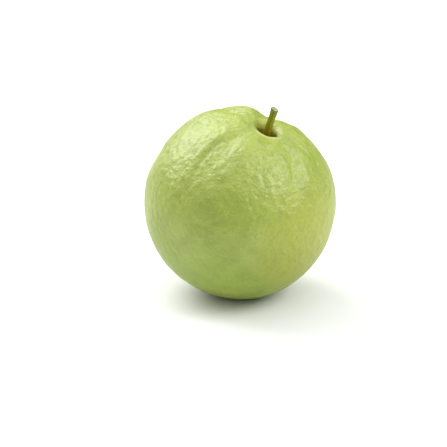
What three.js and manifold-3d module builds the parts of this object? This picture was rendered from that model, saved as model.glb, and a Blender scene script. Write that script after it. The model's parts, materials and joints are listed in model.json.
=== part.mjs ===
// A whole green guava as picked, in millimetres with +Z up: the fruit, the cut stem standing in the
// pit of its stem end, and the dried calyx that crowns its blossom end. It rests on a small flat spot
// of its skin, leaning over, with the origin at the middle of that spot.
import * as THREE from "three";
import { mergeVertices } from "three/addons/utils/BufferGeometryUtils.js";
import Module from "manifold-3d";

const wasm = await Module();
wasm.setup();

// Driving dimensions, in millimetres, with angles in degrees
const FRUIT_DIAMETER = 95; // across the widest part
const LEAN_ANGLE = 21.7; // of the stem end from upright
const LEAN_HEADING = -35.2; // which way it leans, from +X towards +Y
const REST_SPOT_DEPTH = 1; // skin pressed flat under the fruit's weight
const FIT_GAP = 0.3; // between the pieces that grow out of the fruit and their sockets

// Stem end: a wide sunk crown with a tight cup in the middle of it
const CROWN_DEPTH = 3.4;
const CROWN_REACH = 15;
const CUP_RADIUS = 5.8;
const CUP_DEPTH = 5;
const CUP_EDGE = 1.9; // width of the rounded rim of the cup, at its sharp front
const CUP_BACK_EDGE = 14; // the same at its back, which slopes in gently
const CUP_BACK_AZIMUTH = 90;

// Folds of the skin that run down from the cup: furrows fall below the ball and full lobes rise above it.
// Azimuth is taken round the stem, drift is how far the fold has turned by the fruit's shoulder, width is
// its half width, and start and reach are the angles from the stem end where it begins and has faded. Where
// the sides of a fold differ, far is the half width on the side where the azimuth grows.
const FOLDS = [
  { azimuth: 8, drift: 0, width: 9, rise: 0.55, start: 34, reach: 84 },
  { azimuth: 18, drift: 4, width: 11, rise: -0.9, start: 3, reach: 58 },
  { azimuth: 28, drift: 0, width: 8, rise: 0.4, start: 26, reach: 64 },
  { azimuth: 46, drift: 0, width: 9, rise: 1, start: 14, reach: 56 },
  { azimuth: 50, drift: 0, width: 20, rise: -1.7, start: 3, reach: 76 },
  { azimuth: 86, drift: 0, width: 17, rise: -2.8, start: 3, reach: 66 },
  { azimuth: 122, drift: 0, width: 10, rise: 0.9, start: 3, reach: 60 },
  { azimuth: 147, drift: 0, width: 13, far: 17, rise: 1.5, start: 22, reach: 86 },
  { azimuth: 158, drift: -112, width: 20, far: 4, rise: -3, start: 3, reach: 40 },
  { azimuth: 150, drift: -9, width: 9, rise: -1.7, start: 14, reach: 50 },
  { azimuth: 172, drift: 0, width: 9, rise: -1, start: 70, reach: 92 },
  { azimuth: 182, drift: 0, width: 14, rise: 0.5, start: 60, reach: 125 },
  { azimuth: 209, drift: 15, width: 8, far: 14, rise: -1.8, start: 7, reach: 78 },
  { azimuth: 268, drift: -6, width: 10, rise: -0.5, start: 3, reach: 50 },
  { azimuth: 314, drift: -8, width: 8, rise: -1.1, start: 3, reach: 64 },
  { azimuth: 343, drift: 0, width: 7, rise: -0.8, start: 3, reach: 62 },
  { azimuth: 354, drift: 0, width: 9, rise: -0.45, start: 72, reach: 102 },
];
const FOLD_CREST = 0.35; // share of its run where a fold is at its full height
const SHOULDER_ANGLE = 45; // from the stem end, where the drift is measured
const DRIFT_LIMIT = 1.5; // times the drift, which a fold never passes

// Low swellings all over, which keep the body from being a true ball
const SWELLING_COUNT = 9;
const SWELLING_HEIGHT = 0.28;
const SWELLING_WAVES = 4.2; // radians of wave for each radius travelled
const SWELLING_SEED = 7;

// Blossom end: a shallow basin that holds the calyx
const BASIN_DEPTH = 2.6;
const BASIN_REACH = 10;

const STEM_LENGTH = 16.4; // above the floor of the cup
const STEM_ROOT = 3; // sunk into the fruit
const STEM_RADIUS = 1.65; // at the waist
const STEM_FOOT_RADIUS = 1.95;
const STEM_TIP_RADIUS = 1.95;
const STEM_LEAN = 0.45; // how far the tip has bent aside
const STEM_LEAN_AZIMUTH = 164;
const STEM_RIDGES = 4; // a guava twig is four-angled
const STEM_RIDGE_HEIGHT = 0.09;
const STEM_TIP_SLANT = 0.16; // rise of the cut across the tip, for each millimetre

const CALYX_RADIUS = 5.2;
const CALYX_WALL = 1.1;
const CALYX_ROOT = 1.6; // sunk into the fruit
const LOBE_COUNT = 5;
const LOBE_LENGTH = 5;
const LOBE_CURL = 62; // how far a lobe has turned over towards the middle by its tip
const LOBE_VARIATION = 0.3; // from the shortest lobe to the longest, as a share of the length
const LOBE_ROUNDNESS = 0.6; // 1 gives a slim arch, less gives a fuller lobe with a sharper notch
const NOTCH_SHARE = 0.3; // of a lobe's length, left standing between two lobes
const LOBE_SEED = 23;

// Fineness of the facets
const FRUIT_SEGMENTS = 72;
const FINE_STEP = 0.7; // between rings of facets in the cup
const BLOSSOM_STEP = 2.4;
const COARSE_STEP = 4;
const STEM_SEGMENTS = 16;
const LOBE_SEGMENTS = 12;

const RADIUS = FRUIT_DIAMETER / 2;
const radians = THREE.MathUtils.degToRad;
const smooth = THREE.MathUtils.smoothstep;
const lerp = THREE.MathUtils.lerp;

// A repeatable run of numbers from 0 to 1
function seeded(seed) {
  let state = seed;
  return () => {
    state = (state * 16807) % 2147483647;
    return state / 2147483647;
  };
}

// The closed solid of a geometry, and the geometry of a solid
function solidOf(geometry) {
  const bare = new THREE.BufferGeometry().setAttribute("position", geometry.getAttribute("position"));
  if (geometry.index) bare.setIndex(geometry.index);
  const merged = mergeVertices(bare, 1e-4);
  const vertProperties = merged.attributes.position.array;
  const triVerts = new Uint32Array(merged.index.array);
  return new wasm.Manifold(new wasm.Mesh({ numProp: 3, vertProperties, triVerts }));
}

function geometryOf(solid) {
  const mesh = solid.getMesh();
  const geometry = new THREE.BufferGeometry();
  geometry.setAttribute("position", new THREE.BufferAttribute(mesh.vertProperties, 3));
  geometry.setIndex(new THREE.BufferAttribute(mesh.triVerts, 1));
  geometry.computeVertexNormals();
  return geometry;
}

// Turns a profile of [radius, height] points about +Z. It starts and ends on the axis, lowest first.
function turned(profile, segments) {
  const points = profile.map(([radius, height]) => new THREE.Vector2(radius, height));
  return new THREE.LatheGeometry(points, segments).rotateX(Math.PI / 2);
}

// Moves every point of a geometry by a function that changes the point it is given
function reshaped(geometry, change) {
  const position = geometry.getAttribute("position");
  const point = new THREE.Vector3();
  for (let i = 0; i < position.count; i++) {
    change(point.fromBufferAttribute(position, i));
    position.setXYZ(i, point.x, point.y, point.z);
  }
  return geometry;
}

// The fruit

// Height of the sunk crown, the cup in it and the blossom basin, by distance along the skin from each end
// and by azimuth in degrees
function endsHeight(fromStem, fromBlossom, azimuth) {
  const crown = CROWN_DEPTH * Math.exp(-((fromStem / CROWN_REACH) ** 2));
  const back = 0.5 + 0.5 * Math.cos(radians(azimuth - CUP_BACK_AZIMUTH));
  const edge = lerp(CUP_EDGE, CUP_BACK_EDGE, back ** 3);
  const cup = CUP_DEPTH * (1 - smooth(fromStem, CUP_RADIUS - edge / 2, CUP_RADIUS + edge / 2));
  const basin = BASIN_DEPTH * Math.exp(-((fromBlossom / BASIN_REACH) ** 4));
  return -crown - cup - basin;
}

// Height of the folds at a polar angle from the stem end and an azimuth round it, both in degrees
function foldHeight(polar, azimuth) {
  let height = 0;
  for (const fold of FOLDS) {
    const line = fold.azimuth + fold.drift * Math.min(polar / SHOULDER_ANGLE, DRIFT_LIMIT);
    const aside = THREE.MathUtils.euclideanModulo(azimuth - line + 180, 360) - 180;
    const crest = lerp(fold.start, fold.reach, FOLD_CREST);
    const along = smooth(polar, fold.start, crest) * (1 - smooth(polar, crest, fold.reach));
    const width = aside > 0 ? (fold.far ?? fold.width) : fold.width;
    height += fold.rise * along * Math.exp(-((aside / width) ** 2));
  }
  return height;
}

const swellingDraw = seeded(SWELLING_SEED);
const swellings = Array.from({ length: SWELLING_COUNT }, () => {
  const height = 2 * swellingDraw() - 1;
  const turn = 2 * Math.PI * swellingDraw();
  const flat = Math.sqrt(1 - height * height);
  const direction = new THREE.Vector3(flat * Math.cos(turn), flat * Math.sin(turn), height);
  return { direction, phase: 2 * Math.PI * swellingDraw() };
});

function swellingHeight(unit) {
  const wave = ({ direction, phase }) => Math.sin(SWELLING_WAVES * direction.dot(unit) + phase);
  return SWELLING_HEIGHT * swellings.reduce((sum, swelling) => sum + wave(swelling), 0);
}

// Polar angles of the rings of facets, from the blossom end up, closest together round the cup
function ringAngles() {
  const halfTurn = Math.PI * RADIUS;
  const angles = [];
  let arc = FINE_STEP;
  while (arc < halfTurn - BLOSSOM_STEP / 2) {
    angles.unshift(arc / RADIUS);
    const fromCup = smooth(arc, 1.3 * CUP_RADIUS, 4 * CUP_RADIUS);
    const fromBasin = smooth(halfTurn - arc, 0, 3 * BASIN_REACH);
    arc += lerp(FINE_STEP, lerp(BLOSSOM_STEP, COARSE_STEP, fromBasin), fromCup);
  }
  return [Math.PI, ...angles, 0];
}

function fruitGeometry() {
  const halfCircle = ringAngles().map((angle) => [RADIUS * Math.sin(angle), RADIUS * Math.cos(angle)]);
  halfCircle.at(0)[0] = 0;
  halfCircle.at(-1)[0] = 0;
  return reshaped(turned(halfCircle, FRUIT_SEGMENTS), (point) => {
    const unit = point.clone().normalize();
    const polar = Math.acos(THREE.MathUtils.clamp(unit.z, -1, 1));
    const azimuth = THREE.MathUtils.radToDeg(Math.atan2(unit.y, unit.x));
    const ends = endsHeight(RADIUS * polar, RADIUS * (Math.PI - polar), azimuth);
    const folds = foldHeight(THREE.MathUtils.radToDeg(polar), azimuth);
    point.copy(unit).multiplyScalar(RADIUS + ends + folds + swellingHeight(unit));
  });
}

const up = new THREE.Vector3(0, 0, 1);
const CUP_FLOOR = RADIUS - CROWN_DEPTH - CUP_DEPTH + swellingHeight(up);
const BASIN_FLOOR = RADIUS - BASIN_DEPTH + swellingHeight(up.clone().negate());

// A plain round hole along the stem axis, between two heights
function socket(radius, low, high) {
  const hole = new THREE.CylinderGeometry(radius, radius, high - low, 2 * STEM_SEGMENTS);
  return solidOf(hole.rotateX(Math.PI / 2).translate(0, 0, (low + high) / 2));
}

// The stem

// Foot in its socket, waist, and the swollen cut tip, as [radius, height above the floor of the cup]
const stemProfile = [
  [0, FIT_GAP - STEM_ROOT],
  [STEM_FOOT_RADIUS, FIT_GAP - STEM_ROOT],
  [STEM_FOOT_RADIUS, 0.4],
  [STEM_FOOT_RADIUS * 0.95, 1.4],
  [lerp(STEM_RADIUS, STEM_FOOT_RADIUS, 0.45), 3.4],
  [STEM_RADIUS * 1.06, 6.2],
  [STEM_RADIUS, 9.2],
  [STEM_RADIUS, 12.2],
  [lerp(STEM_RADIUS, STEM_TIP_RADIUS, 0.4), 15],
  [STEM_TIP_RADIUS, STEM_LENGTH - 0.5],
  [STEM_TIP_RADIUS * 0.92, STEM_LENGTH],
  [STEM_TIP_RADIUS * 0.5, STEM_LENGTH - 0.25],
  [0, STEM_LENGTH - 0.4],
];

function stemGeometry() {
  const leanX = Math.cos(radians(STEM_LEAN_AZIMUTH));
  const leanY = Math.sin(radians(STEM_LEAN_AZIMUTH));
  return reshaped(turned(stemProfile, STEM_SEGMENTS), (point) => {
    const along = THREE.MathUtils.clamp(point.z / STEM_LENGTH, 0, 1);
    const azimuth = Math.atan2(point.y, point.x);
    const ridge = 1 + STEM_RIDGE_HEIGHT * smooth(along, 0.05, 0.3) * Math.cos(STEM_RIDGES * azimuth);
    const slant = STEM_TIP_SLANT * smooth(along, 0.75, 1) * (point.x * leanX + point.y * leanY);
    const bend = STEM_LEAN * along * along;
    point.set(point.x * ridge + bend * leanX, point.y * ridge + bend * leanY, point.z + slant);
  }).translate(0, 0, CUP_FLOOR);
}

// The calyx, modelled with +Z pointing out of the blossom end

// A straight-walled cup as [radius, height above the basin floor], before its rim is cut into lobes
const calyxInner = CALYX_RADIUS - CALYX_WALL;
const wallShares = [0, 0.25, 0.5, 0.75, 0.92];
const calyxProfile = [
  [0, FIT_GAP - CALYX_ROOT],
  [CALYX_RADIUS, FIT_GAP - CALYX_ROOT],
  ...wallShares.map((share) => [CALYX_RADIUS, share * LOBE_LENGTH]),
  [CALYX_RADIUS - CALYX_WALL / 2, LOBE_LENGTH],
  ...wallShares.toReversed().map((share) => [calyxInner, share * LOBE_LENGTH]),
  [calyxInner * 0.5, -0.3],
  [0, -0.2],
];

const lobeDraw = seeded(LOBE_SEED);
const lobeLengths = Array.from({ length: LOBE_COUNT }, () => 0.8 + LOBE_VARIATION * lobeDraw());

// Share of the full wall that stands at an azimuth: rounded lobes with a sharp notch between two
function lobeShare(azimuth) {
  const turn = THREE.MathUtils.euclideanModulo(azimuth / (2 * Math.PI), 1) * LOBE_COUNT;
  const across = Math.sin(Math.PI * (turn % 1)) ** LOBE_ROUNDNESS;
  return NOTCH_SHARE + (lobeLengths[Math.floor(turn) % LOBE_COUNT] - NOTCH_SHARE) * across;
}

function calyxGeometry() {
  const curl = radians(LOBE_CURL);
  const bendRadius = LOBE_LENGTH / curl;
  const midRadius = CALYX_RADIUS - CALYX_WALL / 2;
  const cup = turned(calyxProfile, LOBE_SEGMENTS * LOBE_COUNT);
  reshaped(cup, (point) => {
    const radius = Math.hypot(point.x, point.y);
    if (point.z <= 0 || radius < 0.5 * calyxInner) return;
    const height = point.z * lobeShare(Math.atan2(point.y, point.x));
    const turn = curl * (height / LOBE_LENGTH);
    const aside = (radius - midRadius) * (1 - 0.5 * (height / LOBE_LENGTH));
    const scale = (midRadius - bendRadius + (bendRadius + aside) * Math.cos(turn)) / radius;
    point.set(point.x * scale, point.y * scale, (bendRadius + aside) * Math.sin(turn));
  });
  return cup.rotateX(Math.PI).translate(0, 0, -BASIN_FLOOR);
}

// Putting the guava together

const fruitSkin = new THREE.MeshStandardMaterial({ color: 0xaebf5f, roughness: 0.38 });
const stemBark = new THREE.MeshStandardMaterial({ color: 0x6f7614, roughness: 0.7 });
const driedCalyx = new THREE.MeshStandardMaterial({ color: 0x7a6a32, roughness: 0.85 });

// The leaning frame that all three pieces are modelled in, with its origin in the middle of the fruit
const leaning = new THREE.Group();
const leanAxis = new THREE.Vector3(-Math.sin(radians(LEAN_HEADING)), Math.cos(radians(LEAN_HEADING)), 0);
leaning.quaternion.setFromAxisAngle(leanAxis, radians(LEAN_ANGLE));

// Lifts the fruit until its lowest skin is pressed flat on the floor, and returns the fruit cut there
function restOnFloor(fruit) {
  const upright = fruit.geometry.clone().applyQuaternion(leaning.quaternion);
  upright.computeBoundingBox();
  leaning.position.z = -upright.boundingBox.min.z - REST_SPOT_DEPTH;
  leaning.updateMatrix();
  const floor = new THREE.BoxGeometry(FRUIT_DIAMETER, FRUIT_DIAMETER, RADIUS).translate(0, 0, -RADIUS / 2);
  const floorBelow = solidOf(floor.applyMatrix4(leaning.matrix.clone().invert()));
  return geometryOf(solidOf(fruit.geometry).subtract(floorBelow));
}

// Moves the fruit sideways until the middle of its flat spot is over the origin
function centreOnRestSpot(fruit) {
  const spot = new THREE.Box3();
  reshaped(fruit.geometry.clone().applyMatrix4(leaning.matrix), (point) => {
    if (point.z < 1e-4) spot.expandByPoint(point);
  });
  leaning.position.x = -(spot.min.x + spot.max.x) / 2;
  leaning.position.y = -(spot.min.y + spot.max.y) / 2;
}

const stemSocket = socket(STEM_FOOT_RADIUS + FIT_GAP, CUP_FLOOR - STEM_ROOT, CUP_FLOOR + CUP_DEPTH);
const calyxSocket = socket(
  CALYX_RADIUS + FIT_GAP,
  -BASIN_FLOOR - 2 * BASIN_DEPTH,
  -BASIN_FLOOR + CALYX_ROOT,
);
const fruitSolid = solidOf(fruitGeometry()).subtract(stemSocket).subtract(calyxSocket);

const fruit = new THREE.Mesh(geometryOf(fruitSolid), fruitSkin);
fruit.name = "fruit";
fruit.geometry = restOnFloor(fruit);
centreOnRestSpot(fruit);

const stem = new THREE.Mesh(stemGeometry(), stemBark);
stem.name = "stem";

const calyx = new THREE.Mesh(calyxGeometry(), driedCalyx);
calyx.name = "calyx";

leaning.add(fruit, stem, calyx);

const guava = new THREE.Group();
guava.add(leaning);

export default guava;
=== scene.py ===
# A whole green guava at rest on a pale studio floor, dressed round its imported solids.
# Lengths are in metres.
import json
import math

import bpy
from mathutils import Matrix, Vector, noise

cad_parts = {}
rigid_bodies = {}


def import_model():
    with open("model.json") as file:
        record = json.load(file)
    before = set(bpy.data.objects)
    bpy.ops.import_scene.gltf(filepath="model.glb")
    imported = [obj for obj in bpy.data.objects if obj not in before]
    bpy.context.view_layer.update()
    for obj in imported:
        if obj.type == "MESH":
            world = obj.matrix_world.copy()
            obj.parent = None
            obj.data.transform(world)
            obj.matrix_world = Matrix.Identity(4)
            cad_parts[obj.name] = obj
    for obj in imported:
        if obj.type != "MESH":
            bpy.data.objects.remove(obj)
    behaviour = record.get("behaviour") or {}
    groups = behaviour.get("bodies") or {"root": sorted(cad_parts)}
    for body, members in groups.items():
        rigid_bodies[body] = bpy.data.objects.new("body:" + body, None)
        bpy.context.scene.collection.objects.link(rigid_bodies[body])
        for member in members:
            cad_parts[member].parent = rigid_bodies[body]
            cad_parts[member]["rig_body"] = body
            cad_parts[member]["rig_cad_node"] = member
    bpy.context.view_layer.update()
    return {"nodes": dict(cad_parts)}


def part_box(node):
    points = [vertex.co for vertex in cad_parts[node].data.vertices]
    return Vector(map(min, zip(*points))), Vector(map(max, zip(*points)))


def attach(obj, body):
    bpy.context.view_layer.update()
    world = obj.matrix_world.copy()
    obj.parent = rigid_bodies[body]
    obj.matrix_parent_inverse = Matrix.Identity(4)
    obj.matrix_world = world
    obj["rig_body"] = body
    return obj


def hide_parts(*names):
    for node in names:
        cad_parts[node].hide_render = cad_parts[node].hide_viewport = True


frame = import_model()

# The fruit
# A guava is a berry with a firm body under a thin waxed skin. It swells unevenly as it grows, so furrows
# run down its shoulders from the stem pit, and oil glands under the skin dimple it all over.
MM = 0.001
MERGE_GAP = 0.001 * MM  # points closer than this are one point
SKIN_SEGMENTS = 360
SKIN_RINGS = 200
PIT_REACH = 14 * MM  # from the stem, where the skin needs closer rings
PIT_INNER = 0.6  # share of that reach that is left out of the first smoothing and the wrinkles
PIT_RING_CUTS = 2
SMOOTH_FACTOR = 0.5
SMOOTH_ROUNDS = 10
LAST_SMOOTH_ROUNDS = 2  # all over, in the pit too
LUMP_SIZE = 8 * MM
LUMP_HEIGHT = 0.3 * MM
WRINKLE_WIDTH = 3.4 * MM  # at the fruit's waist; they draw together towards the stem
WRINKLE_LENGTH = 4.5 * MM
WRINKLE_HEIGHT = 0.3 * MM
TAUT_FROM = 0.6  # radians down from the stem end, where the wrinkles begin to fade
BELLY_WRINKLES = 0.35  # share of the height that they keep on the belly
# The two sharp creases of the shoulders. Down and around are in degrees at each one's start and end.
CREASES = [
    {"down": (25, 64), "around": (210.5, 223.5), "width": 1.3 * MM, "depth": 0.75 * MM},
    {"down": (19, 55), "around": (308.5, 299), "width": 2.8 * MM, "depth": 0.5 * MM},
]

fruit_low, fruit_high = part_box("fruit")
fruit_middle = (fruit_low + fruit_high) / 2
waist = (fruit_high.x - fruit_low.x) / 2


def innermost(node):
    """The point of a node that lies deepest in the fruit, which is on the fruit's own axis."""
    points = [vertex.co for vertex in frame["nodes"][node].data.vertices]
    return min(points, key=lambda point: (point - fruit_middle).length).copy()


stem_root = innermost("stem")
calyx_root = innermost("calyx")
axis = (stem_root - calyx_root).normalized()
core = calyx_root + axis * (fruit_middle - calyx_root).dot(axis)
lean = Vector((0, 0, 1)).rotation_difference(axis)
upright = lean.inverted()


def along_axis(point):
    return (point - core).dot(axis)


def from_axis(point):
    return (point - core - axis * along_axis(point)).length


def angles(point):
    """Where a point lies, seen from the fruit's middle: degrees down from the stem end, and round it."""
    x, y, z = upright @ (point - core)
    return math.degrees(math.atan2(math.hypot(x, y), z)), math.degrees(math.atan2(y, x)) % 360


def pick(piece):
    """Makes one piece the only selected and active one."""
    bpy.ops.object.select_all(action="DESELECT")
    piece.select_set(True)
    bpy.context.view_layer.objects.active = piece


def edit_where(piece, test):
    """Goes into edit mode on a piece, with only the vertices that pass the test selected."""
    pick(piece)
    bpy.ops.object.mode_set(mode="EDIT")
    bpy.ops.mesh.select_mode(type="VERT")
    bpy.ops.mesh.select_all(action="DESELECT")
    bpy.ops.object.mode_set(mode="OBJECT")
    for vertex in piece.data.vertices:
        vertex.select = test(vertex.co)
    bpy.ops.object.mode_set(mode="EDIT")


def apply(piece, kind, **settings):
    """Adds a modifier with its settings to a piece and applies it."""
    pick(piece)
    modifier = piece.modifiers.new(kind.lower(), kind)
    for name, value in settings.items():
        setattr(modifier, name, value)
    bpy.ops.object.modifier_apply(modifier=modifier.name)


def copy_of(node, name):
    """A merged copy of a node, free to be modelled on."""
    pick(frame["nodes"][node])
    bpy.ops.object.duplicate()
    copy = bpy.context.object
    copy.name = name
    copy.parent = None
    del copy["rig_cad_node"], copy["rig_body"]
    copy.data.materials.clear()
    edit_where(copy, lambda point: True)
    bpy.ops.mesh.remove_doubles(threshold=MERGE_GAP)
    bpy.ops.object.mode_set(mode="OBJECT")
    return copy


# The form that the skin is drawn over: the solid with the sockets of the stem and the calyx filled
form = copy_of("fruit", "form")
SOCKET_REACH = 8 * MM
edit_where(
    form,
    lambda point: from_axis(point) < SOCKET_REACH
    and along_axis(calyx_root) < along_axis(point) < along_axis(stem_root),
)
bpy.ops.mesh.delete(type="VERT")
bpy.ops.mesh.select_all(action="SELECT")
bpy.ops.mesh.fill_holes(sides=0)
bpy.ops.mesh.quads_convert_to_tris()
bpy.ops.object.mode_set(mode="OBJECT")

# A half circle spun round the fruit's axis, with its rings closest together in the stem pit
START_RADIUS = (fruit_high - fruit_low).length / 2
bpy.ops.mesh.primitive_circle_add(
    vertices=2 * SKIN_RINGS,
    radius=START_RADIUS,
    rotation=(math.pi / 2, 0, 0),
)
skin = bpy.context.object
skin.name = "guava_skin"
bpy.ops.object.transform_apply(location=True, rotation=True, scale=True)
edit_where(skin, lambda point: point.x < -10 * MERGE_GAP)
bpy.ops.mesh.delete(type="VERT")
pit_angle = PIT_REACH / waist
bpy.ops.object.mode_set(mode="OBJECT")
edit_where(skin, lambda point: point.z > START_RADIUS * math.cos(pit_angle))
bpy.ops.mesh.subdivide(number_cuts=PIT_RING_CUTS)
bpy.ops.object.mode_set(mode="OBJECT")
apply(
    skin,
    "SCREW",
    axis="Z",
    angle=2 * math.pi,
    steps=SKIN_SEGMENTS,
    render_steps=SKIN_SEGMENTS,
    use_merge_vertices=True,
    merge_threshold=MERGE_GAP,
)
edit_where(skin, lambda point: True)
bpy.ops.mesh.remove_doubles(threshold=MERGE_GAP)
bpy.ops.mesh.normals_make_consistent(inside=False)
bpy.ops.object.mode_set(mode="OBJECT")
skin.rotation_mode = "QUATERNION"
skin.rotation_quaternion = lean
skin.location = core
bpy.ops.object.transform_apply(location=True, rotation=True, scale=True)

apply(
    skin,
    "SHRINKWRAP",
    target=form,
    wrap_method="PROJECT",
    use_negative_direction=True,
    use_positive_direction=False,
)
bpy.data.objects.remove(form)


def add_group(piece, name, share):
    """A vertex group on a piece whose weight at each vertex is a share between 0 and 1."""
    group = piece.vertex_groups.new(name=name)
    for vertex in piece.data.vertices:
        group.add([vertex.index], min(max(share(vertex.co), 0.0), 1.0), "REPLACE")
    return name


def outside_pit(point):
    """A share that rises from 0 in the pit to 1 on the skin round it."""
    if along_axis(point) <= 0:
        return 1.0
    return (from_axis(point) / PIT_REACH - PIT_INNER) / (1 - PIT_INNER)


# The solid's facets are rounded off, most of all outside the pit
body = add_group(skin, "body", outside_pit)
apply(skin, "SMOOTH", factor=SMOOTH_FACTOR, iterations=SMOOTH_ROUNDS, vertex_group=body)
apply(skin, "SMOOTH", factor=SMOOTH_FACTOR, iterations=LAST_SMOOTH_ROUNDS)


def wrinkle_share(point):
    """Wrinkles that run down from the stem: noise on a sheet unrolled from the fruit."""
    down, around = (math.radians(angle) for angle in angles(point))
    sheet = Vector((math.cos(around), math.sin(around), 0)) * waist / WRINKLE_WIDTH
    sheet.z = down * waist / WRINKLE_LENGTH
    slack = min(max(1.0 + TAUT_FROM - down, BELLY_WRINKLES), 1.0)
    return (0.5 + 0.5 * noise.noise(sheet)) * slack * min(max(outside_pit(point), 0.0), 1.0)


def crease_share(point, crease):
    """How far a point has sunk into a crease, which is deepest halfway along."""
    down, around = angles(point)
    part = (down - crease["down"][0]) / (crease["down"][1] - crease["down"][0])
    if not 0 < part < 1:
        return 0.0
    line = crease["around"][0] + (crease["around"][1] - crease["around"][0]) * part
    aside = math.radians(around - line) * from_axis(point)
    return math.sin(math.pi * part) * math.exp(-((aside / crease["width"]) ** 2))


wrinkles = add_group(skin, "wrinkles", wrinkle_share)
apply(skin, "DISPLACE", vertex_group=wrinkles, strength=WRINKLE_HEIGHT, mid_level=0.0)
for crease in CREASES:
    creased = add_group(skin, "crease", lambda point: crease_share(point, crease))
    apply(skin, "DISPLACE", vertex_group=creased, strength=-crease["depth"], mid_level=0.0)
    skin.vertex_groups.remove(skin.vertex_groups[creased])

lumps = bpy.data.textures.new("skin_lumps", "CLOUDS")
lumps.noise_scale = LUMP_SIZE
lumps.noise_depth = 1
apply(skin, "DISPLACE", texture=lumps, texture_coords="LOCAL", strength=LUMP_HEIGHT)

# What the lumps have pushed below the floor is pressed flat on it
edit_where(skin, lambda point: point.z < 0)
bpy.ops.transform.resize(value=(1, 1, 0), center_override=(0, 0, 0))
bpy.ops.object.mode_set(mode="OBJECT")
bpy.ops.object.shade_smooth()

# The bottom of the pit is lined with cork up to a nearly level line, along which the skin's mesh is cut
PIT_MOUTH = 10 * MM
CORK_LEVEL = 2.9 * MM  # above the pit's bottom
CORK_TILT = Vector((-0.02, 0.06, 0))  # how it slopes across the pit
stem_end_points = [vertex.co for vertex in skin.data.vertices if along_axis(vertex.co) > 0]
pit_bottom = Vector((0, 0, along_axis(min(stem_end_points, key=from_axis))))
cork_line = pit_bottom + Vector((0, 0, CORK_LEVEL))
cork_up = (Vector((0, 0, 1)) - CORK_TILT).normalized()


def in_mouth(point):
    return along_axis(point) > 0 and from_axis(point) < PIT_MOUTH


edit_where(skin, in_mouth)
bpy.ops.mesh.bisect(plane_co=core + lean @ cork_line, plane_no=lean @ cork_up)
bpy.ops.object.mode_set(mode="OBJECT")

# Waxed guava skin: a thin green skin, yellower where it ripens, with pale gland dots. The wax gives it a
# satin gloss that the dimples break up, and light soaks a little way into the pale flesh under it.
SKIN_UPPER = "#93a231"
# The lower green is darker than the upper: painted shade towards the bottom
SKIN_LOWER_SHADED = "#889f14"
SKIN_PALE = "#a2ae48"
SKIN_MOTTLE = "#758812"
SKIN_RIPE = "#9d9f16"
SKIN_DOT = "#ccd69a"
# The colour of the painted highlight on the pit's front lip
LIP_HIGHLIGHT = "#d3d79b"
CORK_TAN = "#898c32"
# Brown of the cork, darkened as painted shade deep in the pit
CORK_BROWN_AND_SHADE = "#57540e"
CORK_DARK = "#3a3606"
UPPER_FROM = 0.15  # shares of the fruit's height between which the lower green, darker as painted shade, turns to the upper one
UPPER_FULL = 0.75
PATCH_SIZE = 24 * MM
PATCH_STRENGTH = 0.8
MOTTLE_SIZE = 7 * MM
MOTTLE_STRENGTH = 0.5
GLAND_SPACING = 1.5 * MM
DOT_STRENGTH = 0.15
PORE_STRENGTH = 0.35
CELL_SIZE = 3.0 * MM  # across one dimple of the skin
CELL_HEIGHT = 0.72 * MM
GRAIN_SIZE = 1.1 * MM  # coarser than the real pores, so that it shows
GRAIN_HEIGHT = 0.4 * MM
RIPE_SIDE = Vector((0.72, -0.66, -0.22)).normalized()
RIPE_DEPTH = 14 * MM  # in from the tip of that side, where the yellow begins
RIPE_FULL = 1 * MM  # in from the tip, where it is strongest
RIPE_STRENGTH = 0.65
# A painted highlight along the front of the pit's lip: its radius, width, strength and reach to the front
LIP_RADIUS = 7.7 * MM
LIP_WIDTH = 2.2 * MM
LIP_STRENGTH = 0.42
LIP_FRONT = (-0.35, -0.75)  # shares of its radius to the front, where the painted highlight on the lip begins and is brightest
CORK_FADE = 0.6 * MM  # how far the tan of the cork creeps up into the skin
# The deepest part of the pit is brown cork, darkened by painted shade: a place from the pit's bottom, and
# how far the brown reaches from it
DEEP_MIDDLE = Vector((-0.2, -1.8, -3.0)) * MM
DEEP_REACH = 9.0 * MM
DEEP_FULL = 0.82  # share of that reach where it is all brown
WAX_ROUGHNESS = (0.36, 0.5)
WAX_LOSS = 0.35  # roughness added where the wax ends at the cork


def linear(hex_colour):
    """An sRGB hex colour as the linear RGBA that a shader takes."""
    channels = [int(hex_colour[i:i + 2], 16) / 255 for i in (1, 3, 5)]
    return [*(c / 12.92 if c <= 0.04045 else ((c + 0.055) / 1.055) ** 2.4 for c in channels), 1.0]


def new_material(name):
    material = bpy.data.materials.new(name)
    material.use_nodes = True
    return material, material.node_tree.nodes["Principled BSDF"]


def add_node(tree, kind, inputs=None, **settings):
    """Adds a node to a tree. Each input takes a value, or the output of another node."""
    node = tree.nodes.new("ShaderNode" + kind)
    for name, value in settings.items():
        setattr(node, name, value)
    for name, value in (inputs or {}).items():
        if isinstance(value, bpy.types.NodeSocket):
            tree.links.new(value, node.inputs[name])
        else:
            node.inputs[name].default_value = value
    return node


def fruit_place(tree, coordinates):
    """The place on the fruit, with its middle at the origin and its stem straight up."""
    turn = {"Rotation": upright.to_euler(), "Location": -(upright @ core)}
    return add_node(tree, "Mapping", {"Vector": coordinates.outputs["Object"], **turn}).outputs["Vector"]


# The sockets of a Mix node that mixes colours
FACTOR, FROM, TO, MIXED = 0, 6, 7, 2


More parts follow.
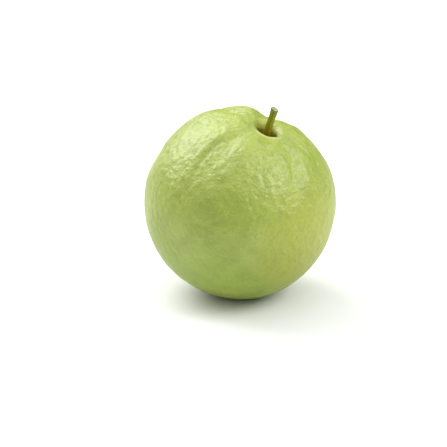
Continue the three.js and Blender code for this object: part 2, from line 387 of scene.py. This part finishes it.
def cork_colour_and_shade(tree, place):
    """The colour of the cork at a place on the fruit: tan, and brown darkened by painted shade deep in the
    pit.
    """
    deep = add_node(tree, "VectorMath", {0: place, 1: pit_bottom + DEEP_MIDDLE}, operation="DISTANCE")
    brown_and_shade_share = add_node(
        tree,
        "MapRange",
        {"Value": deep.outputs["Value"], "From Min": DEEP_REACH, "From Max": DEEP_FULL * DEEP_REACH},
        interpolation_type="SMOOTHSTEP",
    )
    shades = {FROM: linear(CORK_TAN), TO: linear(CORK_BROWN_AND_SHADE)}
    mix = add_node(tree, "Mix", {FACTOR: brown_and_shade_share.outputs["Result"], **shades}, data_type="RGBA")
    return mix.outputs[MIXED]


skin_material, skin_shader = new_material("waxed_guava_skin")
tree = skin_material.node_tree
coordinates = add_node(tree, "TexCoord")
on_fruit = fruit_place(tree, coordinates)

# Painted shade: the skin's green darkens towards the bottom of the fruit, as if less lit there
fruit_height = add_node(tree, "SeparateXYZ", {"Vector": coordinates.outputs["Object"]})
upper_share = add_node(
    tree,
    "MapRange",
    {
        "Value": fruit_height.outputs["Z"],
        "From Min": UPPER_FROM * fruit_high.z,
        "From Max": UPPER_FULL * fruit_high.z,
    },
)
green = add_node(
    tree,
    "Mix",
    {FACTOR: upper_share.outputs["Result"], FROM: linear(SKIN_LOWER_SHADED), TO: linear(SKIN_UPPER)},
    data_type="RGBA",
)
patches = add_node(tree, "TexNoise", {"Vector": on_fruit, "Scale": 1 / PATCH_SIZE, "Detail": 3.0})
patch_share = add_node(
    tree,
    "MapRange",
    {"Value": patches.outputs["Fac"], "From Min": 0.4, "From Max": 0.75, "To Max": PATCH_STRENGTH},
)
patched = add_node(
    tree,
    "Mix",
    {FACTOR: patch_share.outputs["Result"], FROM: green.outputs[MIXED], TO: linear(SKIN_PALE)},
    data_type="RGBA",
)
mottles = add_node(tree, "TexNoise", {"Vector": on_fruit, "Scale": 1 / MOTTLE_SIZE, "Detail": 4.0})
mottle_share = add_node(
    tree,
    "MapRange",
    {"Value": mottles.outputs["Fac"], "From Min": 0.42, "From Max": 0.72, "To Max": MOTTLE_STRENGTH},
)
mottled = add_node(
    tree,
    "Mix",
    {FACTOR: mottle_share.outputs["Result"], FROM: patched.outputs[MIXED], TO: linear(SKIN_MOTTLE)},
    data_type="RGBA",
)
# One cheek of the fruit has begun to ripen
ripe_reach = add_node(
    tree,
    "VectorMath",
    {0: coordinates.outputs["Object"], 1: RIPE_SIDE},
    operation="DOT_PRODUCT",
)
ripe_tip = core.dot(RIPE_SIDE) + waist
ripe_share = add_node(
    tree,
    "MapRange",
    {
        "Value": ripe_reach.outputs["Value"],
        "From Min": ripe_tip - RIPE_DEPTH,
        "From Max": ripe_tip - RIPE_FULL,
        "To Max": RIPE_STRENGTH,
    },
    interpolation_type="SMOOTHSTEP",
)
ripened = add_node(
    tree,
    "Mix",
    {FACTOR: ripe_share.outputs["Result"], FROM: mottled.outputs[MIXED], TO: linear(SKIN_RIPE)},
    data_type="RGBA",
)
glands = add_node(tree, "TexVoronoi", {"Vector": on_fruit, "Scale": 1 / GLAND_SPACING})
gland_share = add_node(
    tree,
    "MapRange",
    {"Value": glands.outputs["Distance"], "From Min": 0.3, "From Max": 0.1, "To Max": DOT_STRENGTH},
)
dotted = add_node(
    tree,
    "Mix",
    {FACTOR: gland_share.outputs["Result"], FROM: ripened.outputs[MIXED], TO: linear(SKIN_DOT)},
    data_type="RGBA",
)
grain = add_node(tree, "TexNoise", {"Vector": on_fruit, "Scale": 1 / GRAIN_SIZE, "Detail": 2.0})
pore_share = add_node(
    tree,
    "MapRange",
    {"Value": grain.outputs["Fac"], "From Min": 0.55, "From Max": 0.3, "To Max": PORE_STRENGTH},
)
pored = add_node(
    tree,
    "Mix",
    {FACTOR: pore_share.outputs["Result"], FROM: dotted.outputs[MIXED], TO: linear(SKIN_MOTTLE)},
    data_type="RGBA",
)
# A painted highlight runs along the lip of the pit, at its front only
pit_place = add_node(tree, "SeparateXYZ", {"Vector": on_fruit})
stem_end = add_node(tree, "Math", {0: pit_place.outputs["Z"], 1: 0.0}, operation="GREATER_THAN")
flat_place = add_node(tree, "VectorMath", {0: on_fruit, 1: (1, 1, 0)}, operation="MULTIPLY")
flat_reach = add_node(tree, "VectorMath", {0: flat_place.outputs["Vector"]}, operation="LENGTH")
lip_reach = add_node(
    tree, "Math", {0: flat_reach.outputs["Value"], 1: LIP_RADIUS}, operation="SUBTRACT"
)
lip_gap = add_node(tree, "Math", {0: lip_reach.outputs["Value"]}, operation="ABSOLUTE")
lip_highlight_share = add_node(
    tree,
    "MapRange",
    {
        "Value": lip_gap.outputs["Value"],
        "From Min": LIP_WIDTH / 2,
        "From Max": 0.0,
        "To Max": LIP_STRENGTH,
    },
    interpolation_type="SMOOTHSTEP",
)
highlight_front_share = add_node(
    tree,
    "MapRange",
    {
        "Value": pit_place.outputs["Y"],
        "From Min": LIP_FRONT[0] * LIP_RADIUS,
        "From Max": LIP_FRONT[1] * LIP_RADIUS,
    },
)
front_lip_highlight = add_node(
    tree, "Math", {0: lip_highlight_share.outputs["Result"], 1: highlight_front_share.outputs["Result"]}, operation="MULTIPLY"
)
lip_highlight_cover = add_node(
    tree, "Math", {0: front_lip_highlight.outputs["Value"], 1: stem_end.outputs["Value"]}, operation="MULTIPLY"
)
lip_highlighted = add_node(
    tree,
    "Mix",
    {FACTOR: lip_highlight_cover.outputs["Value"], FROM: pored.outputs[MIXED], TO: linear(LIP_HIGHLIGHT)},
    data_type="RGBA",
)
# In the pit the skin goes tan towards the cork, with a ragged edge
ragged = add_node(
    tree,
    "MapRange",
    {"Value": mottles.outputs["Fac"], "To Min": -0.5 * CORK_FADE, "To Max": 0.5 * CORK_FADE},
)
cork_height = add_node(tree, "VectorMath", {0: on_fruit, 1: cork_up}, operation="DOT_PRODUCT")
cork_gap = add_node(
    tree, "Math", {0: cork_height.outputs["Value"], 1: ragged.outputs["Result"]}, operation="ADD"
)
tan_fade = add_node(
    tree,
    "MapRange",
    {
        "Value": cork_gap.outputs["Value"],
        "From Min": cork_line.dot(cork_up) + CORK_FADE,
        "From Max": cork_line.dot(cork_up),
    },
    interpolation_type="SMOOTHSTEP",
)
mouth = add_node(tree, "Math", {0: flat_reach.outputs["Value"], 1: PIT_MOUTH}, operation="LESS_THAN")
stem_mouth = add_node(
    tree, "Math", {0: mouth.outputs["Value"], 1: stem_end.outputs["Value"]}, operation="MULTIPLY"
)
tan_cover = add_node(
    tree, "Math", {0: tan_fade.outputs["Result"], 1: stem_mouth.outputs["Value"]}, operation="MULTIPLY"
)
skin_colour = add_node(
    tree,
    "Mix",
    {FACTOR: tan_cover.outputs["Value"], FROM: lip_highlighted.outputs[MIXED], TO: cork_colour_and_shade(tree, on_fruit)},
    data_type="RGBA",
)
tree.links.new(skin_colour.outputs[MIXED], skin_shader.inputs["Base Color"])

cells = add_node(tree, "TexVoronoi", {"Vector": on_fruit, "Scale": 1 / CELL_SIZE}, feature="SMOOTH_F1")
cell_relief = add_node(
    tree, "Math", {0: cells.outputs["Distance"], 1: -CELL_HEIGHT}, operation="MULTIPLY"
)
relief = add_node(
    tree,
    "Math",
    {0: grain.outputs["Fac"], 1: GRAIN_HEIGHT, 2: cell_relief.outputs["Value"]},
    operation="MULTIPLY_ADD",
)
bump = add_node(tree, "Bump", {"Height": relief.outputs["Value"], "Strength": 1.0, "Distance": 1.0})
tree.links.new(bump.outputs["Normal"], skin_shader.inputs["Normal"])
gloss = add_node(
    tree,
    "MapRange",
    {"Value": grain.outputs["Fac"], "To Min": WAX_ROUGHNESS[0], "To Max": WAX_ROUGHNESS[1]},
)
dulled = add_node(
    tree,
    "Math",
    {0: tan_cover.outputs["Value"], 1: WAX_LOSS, 2: gloss.outputs["Result"]},
    operation="MULTIPLY_ADD",
)
tree.links.new(dulled.outputs["Value"], skin_shader.inputs["Roughness"])
skin_shader.inputs["IOR"].default_value = 1.7
skin_shader.inputs["Subsurface Weight"].default_value = 0.15
skin_shader.inputs["Subsurface Radius"].default_value = (0.7, 1.0, 0.3)
skin_shader.inputs["Subsurface Scale"].default_value = 2.5 * MM
skin.data.materials.append(skin_material)

# Cork: the dry bottom of the pit, tan at its edge and brown round the stem, where painted shade darkens it.
# It has no wax, so it is dull.
CRUMB_STRENGTH = 0.5
cork_material, cork_shader = new_material("pit_cork")
tree = cork_material.node_tree
in_pit = fruit_place(tree, add_node(tree, "TexCoord"))
crumbs = add_node(tree, "TexNoise", {"Vector": in_pit, "Scale": 1 / GRAIN_SIZE, "Detail": 3.0})
crumb_share = add_node(
    tree,
    "MapRange",
    {"Value": crumbs.outputs["Fac"], "From Min": 0.45, "From Max": 0.7, "To Max": CRUMB_STRENGTH},
)
crumbled = add_node(
    tree,
    "Mix",
    {FACTOR: crumb_share.outputs["Result"], FROM: cork_colour_and_shade(tree, in_pit), TO: linear(CORK_DARK)},
    data_type="RGBA",
)
tree.links.new(crumbled.outputs[MIXED], cork_shader.inputs["Base Color"])
cork_bump = add_node(
    tree, "Bump", {"Height": crumbs.outputs["Fac"], "Strength": 1.0, "Distance": GRAIN_HEIGHT}
)
tree.links.new(cork_bump.outputs["Normal"], cork_shader.inputs["Normal"])
cork_shader.inputs["Roughness"].default_value = 0.9
cork_shader.inputs["Specular IOR Level"].default_value = 0.15
skin.data.materials.append(cork_material)
for face in skin.data.polygons:
    below_line = (upright @ (face.center - core) - cork_line).dot(cork_up) < 0
    face.material_index = 1 if below_line and in_mouth(face.center) else 0
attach(skin, "root")
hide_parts("fruit")

# The stem
# A short length of the twig that the fruit hung from, four-angled and woody, with thin green bark. It was
# cut through with a knife, and its foot is grown into the bottom of the pit.
STEM_GREEN = "#7f8500"
STEM_BROWN = "#8b7000"
STEM_GREY = "#707b2c"
STEM_FIBRE = "#5a5a00"
CUT_WOOD = "#9ca474"
CUT_PORES = "#7b834d"
CUT_RISE = 1.5 * MM  # from the lower side of the slanting cut to the upper
FIBRE_WIDTH = 0.35 * MM  # coarser than real fibres, so that they show
FIBRE_LENGTH = 4 * MM
FIBRE_HEIGHT = 0.12 * MM
FIBRE_STRENGTH = 0.45
CUT_FACING = 0.7  # least cosine between the axis and a face of the cut
RIM_SHARPNESS = 0.8
BROWN_FROM = 12 * MM  # above the root, where the bark begins to turn brown towards its foot
BROWN_FULL = 5 * MM
GREY_FROM = 15 * MM  # above the root, where the bark begins to turn grey towards the cut
GREY_FULL = 19 * MM

stem = copy_of("stem", "guava_stem")
edit_where(stem, lambda point: True)
bpy.ops.mesh.tris_convert_to_quads()
bpy.ops.object.mode_set(mode="OBJECT")
stem_tip = max(along_axis(vertex.co) for vertex in stem.data.vertices)


def is_cut(face):
    return face.normal.dot(axis) > CUT_FACING and along_axis(face.center) > stem_tip - CUT_RISE


# The knife left a sharp rim, which the rounding of the bark keeps
bpy.ops.object.mode_set(mode="EDIT")
bpy.ops.mesh.select_mode(type="FACE")
bpy.ops.mesh.select_all(action="DESELECT")
bpy.ops.object.mode_set(mode="OBJECT")
for face in stem.data.polygons:
    face.select = is_cut(face)
bpy.ops.object.mode_set(mode="EDIT")
bpy.ops.mesh.region_to_loop()
bpy.ops.transform.edge_crease(value=RIM_SHARPNESS)
bpy.ops.object.mode_set(mode="OBJECT")
apply(stem, "SUBSURF", levels=3, render_levels=3)
bpy.ops.object.shade_smooth()

# Green twig bark: thin and a little fibrous, browner at its foot and greyer at the cut. It is nearly dull.
bark_material, bark_shader = new_material("green_twig_bark")
tree = bark_material.node_tree
coordinates = add_node(tree, "TexCoord")
# The place on the stem with its root at the origin and its length straight up
on_stem = add_node(
    tree,
    "Mapping",
    {
        "Vector": coordinates.outputs["Object"],
        "Rotation": upright.to_euler(),
        "Location": -(upright @ stem_root),
    },
).outputs["Vector"]
stem_height = add_node(tree, "SeparateXYZ", {"Vector": on_stem})
foot_share = add_node(
    tree,
    "MapRange",
    {"Value": stem_height.outputs["Z"], "From Min": BROWN_FROM, "From Max": BROWN_FULL},
)
barked = add_node(
    tree,
    "Mix",
    {FACTOR: foot_share.outputs["Result"], FROM: linear(STEM_GREEN), TO: linear(STEM_BROWN)},
    data_type="RGBA",
)
top_share = add_node(
    tree,
    "MapRange",
    {"Value": stem_height.outputs["Z"], "From Min": GREY_FROM, "From Max": GREY_FULL},
)
greyed = add_node(
    tree,
    "Mix",
    {FACTOR: top_share.outputs["Result"], FROM: barked.outputs[MIXED], TO: linear(STEM_GREY)},
    data_type="RGBA",
)
stretched = add_node(
    tree, "VectorMath", {0: on_stem, 1: (1, 1, FIBRE_WIDTH / FIBRE_LENGTH)}, operation="MULTIPLY"
)
fibres = add_node(
    tree, "TexNoise", {"Vector": stretched.outputs["Vector"], "Scale": 1 / FIBRE_WIDTH, "Detail": 3.0}
)
fibre_share = add_node(
    tree,
    "MapRange",
    {"Value": fibres.outputs["Fac"], "From Min": 0.4, "From Max": 0.7, "To Max": FIBRE_STRENGTH},
)
streaked = add_node(
    tree,
    "Mix",
    {FACTOR: fibre_share.outputs["Result"], FROM: greyed.outputs[MIXED], TO: linear(STEM_FIBRE)},
    data_type="RGBA",
)
tree.links.new(streaked.outputs[MIXED], bark_shader.inputs["Base Color"])
bark_bump = add_node(
    tree, "Bump", {"Height": fibres.outputs["Fac"], "Strength": 0.6, "Distance": FIBRE_HEIGHT}
)
tree.links.new(bark_bump.outputs["Normal"], bark_shader.inputs["Normal"])
bark_shader.inputs["Roughness"].default_value = 0.6
bark_shader.inputs["Specular IOR Level"].default_value = 0.25
stem.data.materials.append(bark_material)

# Cut twig wood: pale and dull, speckled by the darker pores that the knife has opened
wood_material, wood_shader = new_material("cut_twig_wood")
tree = wood_material.node_tree
coordinates = add_node(tree, "TexCoord")
pores = add_node(
    tree, "TexNoise", {"Vector": coordinates.outputs["Object"], "Scale": 1 / FIBRE_WIDTH, "Detail": 2.0}
)
wood_colour = add_node(
    tree,
    "Mix",
    {FACTOR: pores.outputs["Fac"], FROM: linear(CUT_WOOD), TO: linear(CUT_PORES)},
    data_type="RGBA",
)
tree.links.new(wood_colour.outputs[MIXED], wood_shader.inputs["Base Color"])
wood_shader.inputs["Roughness"].default_value = 0.8
stem.data.materials.append(wood_material)
for face in stem.data.polygons:
    face.material_index = 1 if is_cut(face) else 0
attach(stem, "root")
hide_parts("stem")

# The calyx
# The dried remains of the flower, kept by every guava at its blossom end: a ring of five papery lobes that
# have curled over the middle and gone brown.
CALYX_BROWN = "#5f4a24"
CALYX_TAN = "#8d7a45"
CRUMPLE_SIZE = 1.6 * MM
CRUMPLE_HEIGHT = 0.35 * MM
CALYX_GRAIN_HEIGHT = 0.2 * MM

calyx = copy_of("calyx", "guava_calyx")
edit_where(calyx, lambda point: True)
bpy.ops.mesh.tris_convert_to_quads()
bpy.ops.object.mode_set(mode="OBJECT")
apply(calyx, "SUBSURF", levels=2, render_levels=2)
crumples = bpy.data.textures.new("calyx_crumples", "CLOUDS")
crumples.noise_scale = CRUMPLE_SIZE
apply(calyx, "DISPLACE", texture=crumples, texture_coords="LOCAL", strength=CRUMPLE_HEIGHT)
bpy.ops.object.shade_smooth()

# Dried calyx: papery and brittle, dark brown mottled with tan, and dull
calyx_material, calyx_shader = new_material("dried_calyx")
tree = calyx_material.node_tree
coordinates = add_node(tree, "TexCoord")
mottle = add_node(
    tree,
    "TexNoise",
    {"Vector": coordinates.outputs["Object"], "Scale": 1 / CRUMPLE_SIZE, "Detail": 4.0},
)
calyx_colour = add_node(
    tree,
    "Mix",
    {FACTOR: mottle.outputs["Fac"], FROM: linear(CALYX_BROWN), TO: linear(CALYX_TAN)},
    data_type="RGBA",
)
tree.links.new(calyx_colour.outputs[MIXED], calyx_shader.inputs["Base Color"])
calyx_bump = add_node(
    tree, "Bump", {"Height": mottle.outputs["Fac"], "Strength": 0.6, "Distance": CALYX_GRAIN_HEIGHT}
)
tree.links.new(calyx_bump.outputs["Normal"], calyx_shader.inputs["Normal"])
calyx_shader.inputs["Roughness"].default_value = 0.85
calyx.data.materials.append(calyx_material)
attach(calyx, "root")
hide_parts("calyx")

# The studio
# A white table that runs out of the picture on every side, under a bright soft ceiling, with one large soft
# lamp high on the left and a smaller one on the right.
FLOOR_SIZE = 8.0
FLOOR_WHITE = "#e8e9e9"
SKY_LOW = 0.05  # strength at the horizon
SKY_HIGH = 1.25  # strength overhead
SKY_FULL = 0.85  # height on a sphere of radius 1, from where the sky is at its brightest
bpy.ops.object.select_all(action="DESELECT")
bpy.ops.mesh.primitive_plane_add(size=FLOOR_SIZE)
floor = bpy.context.object
floor.name = "floor"
floor_material, floor_shader = new_material("white_table")
floor_shader.inputs["Base Color"].default_value = linear(FLOOR_WHITE)
floor_shader.inputs["Roughness"].default_value = 0.7
floor.data.materials.append(floor_material)

world = bpy.data.worlds.new("studio")
world.use_nodes = True
bpy.context.scene.world = world
tree = world.node_tree
sky_coordinates = add_node(tree, "TexCoord")
sky_height = add_node(tree, "SeparateXYZ", {"Vector": sky_coordinates.outputs["Generated"]})
sky_strength = add_node(
    tree,
    "MapRange",
    {
        "Value": sky_height.outputs["Z"],
        "From Min": 0.0,
        "From Max": SKY_FULL,
        "To Min": SKY_LOW,
        "To Max": SKY_HIGH,
    },
)
tree.links.new(sky_strength.outputs["Result"], tree.nodes["Background"].inputs["Strength"])
tree.nodes["Background"].inputs["Color"].default_value = (1, 1, 1, 1)

# The camera, at the photograph's viewing angle. It stands a little to the left of the fruit's middle and
# below the line to it, as the photograph is framed.
VIEW_ELEVATION = math.radians(20)
VIEW_DISTANCE = 0.8
VIEW_LENS = 129.8  # millimetres, on the sensor below
VIEW_SENSOR = 36
VIEW_RIGHT = -8.3 * MM
VIEW_UP = -10.7 * MM
looking = Vector((0, math.cos(VIEW_ELEVATION), -math.sin(VIEW_ELEVATION)))
rightward = Vector((1, 0, 0))
upward = rightward.cross(looking)
bpy.ops.object.camera_add(
    location=fruit_middle - looking * VIEW_DISTANCE + rightward * VIEW_RIGHT + upward * VIEW_UP,
    rotation=Matrix((rightward, upward, -looking)).transposed().to_euler(),
)
camera = bpy.context.object
camera.data.lens = VIEW_LENS
camera.data.sensor_width = VIEW_SENSOR
bpy.context.scene.camera = camera


def soft_lamp(name, direction, distance, size, power):
    """A square soft lamp on the fruit. Its direction is given as right, up and towards the camera."""
    toward = (rightward * direction[0] + upward * direction[1] - looking * direction[2]).normalized()
    bpy.ops.object.light_add(
        type="AREA",
        location=fruit_middle + toward * distance,
        rotation=toward.to_track_quat("Z", "Y").to_euler(),
    )
    lamp = bpy.context.object
    lamp.name = name
    lamp.data.shape = "SQUARE"
    lamp.data.size = size
    lamp.data.energy = power


soft_lamp("key_lamp", direction=(-0.53, 0.81, -0.22), distance=1.2, size=1.05, power=16)
soft_lamp("side_lamp", direction=(0.75, 0.52, 0.38), distance=1.0, size=0.5, power=6)

bpy.context.scene.view_settings.view_transform = "Standard"
